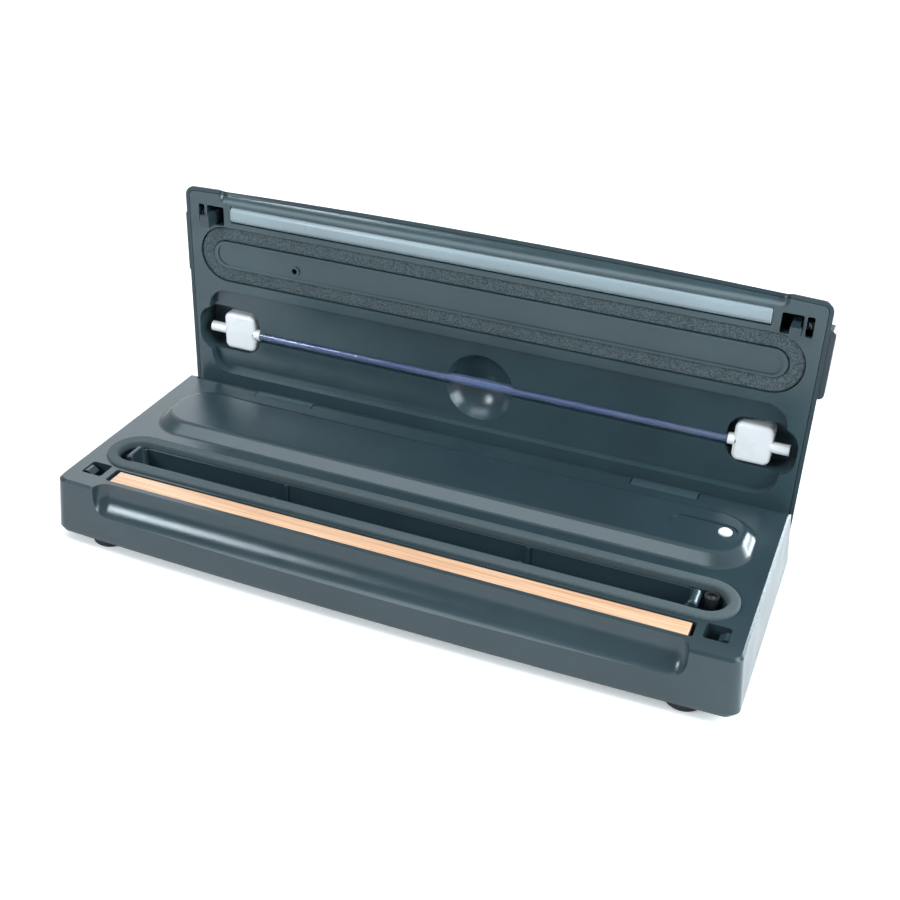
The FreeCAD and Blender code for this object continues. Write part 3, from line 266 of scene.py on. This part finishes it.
SHARP_ANGLE = math.radians(40)
SAME_POINT = 1e-7
SEAM = 1e-6
LONG_EDGE = 0.1
RING_SEGMENTS = 96
ROUND_STEPS = 4
GASKET_BAND = 6.3 * MM
GASKET_CORNER = 1.5 * MM
FOAM_BAND = 8.6 * MM
FOAM_CORNER = 1.0 * MM
STRIP_CROWN = 3.6 * MM
STRIP_END_ROUND = 0.7 * MM
STRIP_FOOT = 1 * MM
TAPE_WALL = 0.45 * MM
TAPE_ROUND = 0.8 * MM
TAPE_CUTS = 90
TAPE_TOP_SKIN = 0.2 * MM
TAPE_DIP = 0.06 * MM
TAPE_WAVES = ((1.0, 61, 0.0), (0.6, 143, 1.1))
HOSE_WALL = 1.0 * MM
HOSE_SEGMENTS = 40
ROUTE_STEPS = 8


def finish_piece(mesh, name, slot, body, node, turn=None):
    """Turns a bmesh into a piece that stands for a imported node."""
    bmesh.ops.remove_doubles(mesh, verts=mesh.verts, dist=SAME_POINT)
    bmesh.ops.recalc_face_normals(mesh, faces=mesh.faces)
    if turn is not None:
        bmesh.ops.transform(mesh, matrix=turn, verts=mesh.verts)
    data = bpy.data.meshes.new(name)
    mesh.to_mesh(data)
    mesh.free()
    piece = bpy.data.objects.new(name, data)
    scene.collection.objects.link(piece)
    data.shade_smooth()
    data.set_sharp_from_angle(angle=SHARP_ANGLE)
    data.materials.append(FINISHES[slot])
    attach(piece, body)
    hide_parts(node)
    return piece


def pull_edges(mesh, edges):
    """Extrudes a loop of edges and gives its new points and edges."""
    made = bmesh.ops.extrude_edge_only(mesh, edges=edges)["geom"]
    points = [item for item in made if isinstance(item, bmesh.types.BMVert)]
    return points, [item for item in made if isinstance(item, bmesh.types.BMEdge)]


def stadium_ring(section, centre, half_straight):
    """A soft ring swept round a stadium, from a closed section of (radius, height)."""
    mesh = bmesh.new()
    radius, height = section[0]
    bmesh.ops.create_circle(mesh, cap_ends=False, segments=RING_SEGMENTS, radius=radius,
                            matrix=Matrix.Rotation(math.pi / RING_SEGMENTS, 4, "Z"))
    ends = [Vector((side * half_straight, 0, 0)) for side in (-1, 1)]
    for end in ends:
        half = [vert for vert in mesh.verts if vert.co.x * end.x > 0]
        bmesh.ops.translate(mesh, verts=half, vec=end)
    edges = mesh.edges[:]
    for next_radius, next_height in section[1:] + section[:1]:
        fresh, edges = pull_edges(mesh, edges)
        ratio = next_radius / radius
        for end in ends:
            half = [vert for vert in fresh if vert.co.x * end.x > 0]
            bmesh.ops.scale(mesh, verts=half, vec=(ratio, ratio, 1), space=Matrix.Translation(-end))
        bmesh.ops.translate(mesh, verts=fresh, vec=(0, 0, next_height - height))
        radius, height = next_radius, next_height
    bmesh.ops.translate(mesh, verts=mesh.verts, vec=(centre.x, centre.y, section[0][1]))
    bmesh.ops.remove_doubles(mesh, verts=mesh.verts, dist=SEAM)
    return mesh


def section_round(inner, outer, low, high, corner):
    """A ring section with round top corners."""
    points = [(outer, low), (inner, low)]
    for centre, start in ((inner + corner, 180), (outer - corner, 90)):
        for step in range(ROUND_STEPS + 1):
            angle = math.radians(start - step * 90 / ROUND_STEPS)
            points.append((centre + corner * math.cos(angle), high - corner + corner * math.sin(angle)))
    return points


def gasket_ring(low, high, band, corner, faces_down):
    """A gasket that fills its box, with the round corners above or below."""
    radius = (high.y - low.y) / 2
    half_straight = (high.x - low.x) / 2 - radius
    section = section_round(radius - band, radius, low.z, high.z, corner)
    if faces_down:
        section = [(reach, low.z + high.z - level) for reach, level in section]
    return stadium_ring(section, (low + high) / 2, half_straight)


def make_lower_gasket():
    low, high = size_box("lower_gasket")
    mesh = gasket_ring(low, high, GASKET_BAND, GASKET_CORNER, faces_down=False)
    finish_piece(mesh, "soft_lower_gasket", "gasket_rubber", "base", "lower_gasket")


def make_upper_gasket():
    low, high = closed_box("upper_gasket")
    mesh = gasket_ring(low, high, FOAM_BAND, FOAM_CORNER, faces_down=True)
    ring = finish_piece(mesh, "soft_upper_gasket", "foam", "lid", "upper_gasket", TURN_OPEN)


def box_mesh(low, high):
    mesh = bmesh.new()
    bmesh.ops.create_cube(mesh, size=1.0)
    bmesh.ops.scale(mesh, verts=mesh.verts, vec=high - low)
    bmesh.ops.translate(mesh, verts=mesh.verts, vec=(low + high) / 2)
    return mesh


def long_edges(mesh):
    """The edges that run along the sealer."""
    return [edge for edge in mesh.edges if abs(edge.verts[0].co.x - edge.verts[1].co.x) > LONG_EDGE]


def round_edges(mesh, edges, offset, segments):
    bmesh.ops.bevel(mesh, geom=edges, offset=offset, segments=segments, profile=0.5, affect="EDGES",
                    material=-1)


def make_silicone_strip():
    """The pressing strip, with a round face and softened ends."""
    low, high = closed_box("silicone_strip")
    mesh = box_mesh(low, high)
    crown = [edge for edge in long_edges(mesh) if edge.verts[0].co.z < (low.z + high.z) / 2]
    round_edges(mesh, crown, STRIP_CROWN, 8)
    ends = [edge for edge in mesh.edges if abs(edge.verts[0].co.x - edge.verts[1].co.x) < SEAM
            and max(vert.co.z for vert in edge.verts) < high.z - STRIP_FOOT]
    round_edges(mesh, ends, STRIP_END_ROUND, 3)
    finish_piece(mesh, "soft_silicone_strip", "silicone", "lid", "silicone_strip", TURN_OPEN)


def make_cover_tape():
    """A thin cap over the sealing bar, open below, with slight waves along its top."""
    low, high = size_box("ptfe_tape")
    mesh = box_mesh(low, high)
    bottom = [face for face in mesh.faces if face.normal.z < -0.5]
    bmesh.ops.delete(mesh, geom=bottom, context="FACES_ONLY")
    crown = [edge for edge in mesh.edges if all(vert.co.z > high.z - SEAM for vert in edge.verts)]
    round_edges(mesh, crown, TAPE_ROUND, 4)
    bmesh.ops.subdivide_edges(mesh, edges=long_edges(mesh), cuts=TAPE_CUTS, use_grid_fill=True)
    bmesh.ops.recalc_face_normals(mesh, faces=mesh.faces)
    bmesh.ops.solidify(mesh, geom=mesh.faces[:], thickness=TAPE_WALL)
    tallest = sum(share for share, pace, start in TAPE_WAVES)
    for vert in mesh.verts:
        if vert.co.z > high.z - TAPE_TOP_SKIN:
            wave = sum(share * math.sin(vert.co.x * pace + start) for share, pace, start in TAPE_WAVES)
            vert.co.z -= TAPE_DIP * (1 + wave / tallest)
    finish_piece(mesh, "soft_cover_tape", "tape", "base", "ptfe_tape")


def hose_route(points):
    """Points along the smooth line of the hose, read from its spline."""
    curve = bpy.data.curves.new("hose_route", "CURVE")
    curve.dimensions = "3D"
    curve.resolution_u = ROUTE_STEPS
    line = curve.splines.new("NURBS")
    line.points.add(len(points) - 1)
    for control, place in zip(line.points, points):
        control.co = (*place, 1)
    line.order_u = 3
    line.use_endpoint_u = True
    carrier = bpy.data.objects.new("hose_route", curve)
    drawn = bpy.data.meshes.new_from_object(carrier)
    route = [vert.co.copy() for vert in drawn.vertices]
    bpy.data.objects.remove(carrier)
    bpy.data.curves.remove(curve)
    bpy.data.meshes.remove(drawn)
    return route


def make_hose():
    """The accessory hose: an open tube with a wall, between its two connectors."""
    low, high = size_box("vacuum_hose")
    middle = (low + high) / 2
    outer = (high.z - low.z) / 2
    inner = outer - HOSE_WALL
    places = [Vector((x, middle.y, middle.z)) for x in (low.x, middle.x, high.x)]
    route = hose_route(places)
    mesh = bmesh.new()
    upright = Matrix.Translation((low.x, 0, 0)) @ Matrix.Rotation(QUARTER_TURN, 4, "Y")
    bmesh.ops.create_circle(mesh, cap_ends=False, segments=HOSE_SEGMENTS, radius=outer, matrix=upright)
    edges = mesh.edges[:]
    strides = [after.x - before.x for before, after in zip(route, route[1:])]
    moves = [(stride, 1) for stride in strides] + [(0, inner / outer)]
    moves += [(-stride, 1) for stride in reversed(strides)] + [(0, outer / inner)]
    for shift, ratio in moves:
        fresh, edges = pull_edges(mesh, edges)
        bmesh.ops.scale(mesh, verts=fresh, vec=(1, ratio, ratio))
        bmesh.ops.translate(mesh, verts=fresh, vec=(shift, 0, 0))
    bmesh.ops.translate(mesh, verts=mesh.verts, vec=(0, middle.y, middle.z))
    bmesh.ops.remove_doubles(mesh, verts=mesh.verts, dist=SEAM)
    hose = finish_piece(mesh, "soft_vacuum_hose", "hose", "hose", "vacuum_hose")


def make_latch_spring(side):
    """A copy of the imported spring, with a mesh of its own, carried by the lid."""
    node = "latch_spring_" + side
    mesh = bmesh.new()
    mesh.from_mesh(frame["nodes"][node].data)
    spring = finish_piece(mesh, "shortening_spring_" + side, "steel", "lid", node)
    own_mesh(spring)


make_latch_spring("left")
make_latch_spring("right")
make_lower_gasket()
make_upper_gasket()
make_silicone_strip()
make_cover_tape()
make_hose()


# Floor, light and camera

FLOOR_REACH = 6.0
GLOW_START = 0.4
GLOW_STOP = 1.4
NEAR_GLOW = 0.28
FAR_GLOW = 0.75
ROOM_LEVEL = 0.33
REAR_START = -0.2
REAR_STOP = 0.6
COOL_LIGHT = (0.86, 1.0, 1.07)
# Each softbox has a name, a place, an aim, a width and depth, and a power in watts.
SOFTBOXES = (
    ("key_right", (0.95, -0.15, 0.55), (0.1, 0, 0.05), (0.6, 0.6), 10),
    ("top", (-0.4, -0.2, 1.25), (-0.4, 0, 0), (1.2, 0.6), 8),
    ("rim_right", (0.75, 1.0, 0.35), (0.15, 0, 0.04), (0.5, 0.5), 10),
    ("rim_left", (-0.77, 0.86, 0.61), (-0.15, 0, 0.04), (0.6, 0.6), 1.4),
    ("fill_left", (-0.9, -1.1, 0.8), (0, 0, 0.05), (0.4, 0.4), 11),
)
CAMERA_PLACE = Vector((0.22704, -0.57762, 0.42310))
CAMERA_RIGHT = Vector((0.92672, 0.37381, 0.03815))
CAMERA_UP = Vector((-0.21928, 0.45559, 0.86276))
CAMERA_LENS = 52.17
SENSOR_WIDTH = 36


def combine(tree, operation, first, second):
    pair = add_node(tree, "ShaderNodeMath", operation=operation)
    tree.links.new(first, pair.inputs[0])
    tree.links.new(second, pair.inputs[1])
    return pair.outputs[0]


def seen_by_rays(tree, mirrored_share=None):
    """One for rays that show the surroundings: straight from the camera, mirrored or passed through."""
    path = add_node(tree, "ShaderNodeLightPath")
    mirrored = path.outputs["Is Glossy Ray"]
    if mirrored_share is not None:
        mirrored = combine(tree, "MULTIPLY", mirrored, mirrored_share)
    straight = combine(tree, "MAXIMUM", path.outputs["Is Camera Ray"], path.outputs["Is Transmission Ray"])
    return combine(tree, "MAXIMUM", straight, mirrored)


def span_of(tree, source, low, high, start, stop):
    """Carries a value's span from low to high over to the one from start to stop."""
    span = add_node(tree, "ShaderNodeMapRange")
    limits = {"From Min": low, "From Max": high, "To Min": start, "To Max": stop}
    for socket, limit in limits.items():
        span.inputs[socket].default_value = limit
    tree.links.new(source, span.inputs["Value"])
    return span.outputs["Result"]


def make_floor():
    """A white floor that keeps the shadow and glows more, far from the sealer, for rays that show it."""
    mesh = bmesh.new()
    bmesh.ops.create_grid(mesh, x_segments=1, y_segments=1, size=FLOOR_REACH)
    data = bpy.data.meshes.new("floor")
    mesh.to_mesh(data)
    mesh.free()
    floor = bpy.data.objects.new("floor", data)
    scene.collection.objects.link(floor)
    material, tree, shader = new_material("white_floor")
    shader.inputs["Base Color"].default_value = (0.92, 0.92, 0.92, 1)
    shader.inputs["Roughness"].default_value = 0.9
    shader.inputs["Specular IOR Level"].default_value = 0.1
    shader.inputs["Emission Color"].default_value = (1, 1, 1, 1)
    coords = add_node(tree, "ShaderNodeTexCoord")
    reach = add_node(tree, "ShaderNodeVectorMath", operation="LENGTH")
    tree.links.new(coords.outputs["Object"], reach.inputs[0])
    glow = span_of(tree, reach.outputs["Value"], GLOW_START, GLOW_STOP, NEAR_GLOW, FAR_GLOW)
    shown = combine(tree, "MULTIPLY", seen_by_rays(tree), glow)
    tree.links.new(shown, shader.inputs["Emission Strength"])
    data.materials.append(material)


def make_world():
    """A plain room that is white where it is seen, and where it is mirrored towards the rear."""
    world = bpy.data.worlds.new("studio")
    scene.world = world
    world.use_nodes = True
    tree = world.node_tree
    back = tree.nodes["Background"]
    back.inputs["Color"].default_value = (1, 1, 1, 1)
    coords = add_node(tree, "ShaderNodeTexCoord")
    parts = add_node(tree, "ShaderNodeSeparateXYZ")
    tree.links.new(coords.outputs["Generated"], parts.inputs["Vector"])
    rear = span_of(tree, parts.outputs["Y"], REAR_START, REAR_STOP, 0, 1)
    level = span_of(tree, seen_by_rays(tree, rear), 0, 1, ROOM_LEVEL, 1.0)
    tree.links.new(level, back.inputs["Strength"])


def add_softbox(name, place, aim, size, power):
    lamp = bpy.data.lights.new(name, "AREA")
    lamp.shape = "RECTANGLE"
    lamp.size, lamp.size_y = size
    lamp.energy = power
    lamp.color = COOL_LIGHT
    box = bpy.data.objects.new(name, lamp)
    box.location = place
    box.rotation_euler = (Vector(aim) - Vector(place)).to_track_quat("-Z", "Y").to_euler()
    scene.collection.objects.link(box)


def make_camera():
    data = bpy.data.cameras.new("camera")
    data.sensor_width = SENSOR_WIDTH
    data.lens = CAMERA_LENS
    camera = bpy.data.objects.new("camera", data)
    back = CAMERA_RIGHT.cross(CAMERA_UP)
    turn = Matrix((CAMERA_RIGHT, CAMERA_UP, back)).transposed()
    camera.matrix_world = Matrix.Translation(CAMERA_PLACE) @ turn.to_4x4()
    scene.collection.objects.link(camera)
    scene.camera = camera


make_floor()
make_world()
for softbox in SOFTBOXES:
    add_softbox(*softbox)
make_camera()
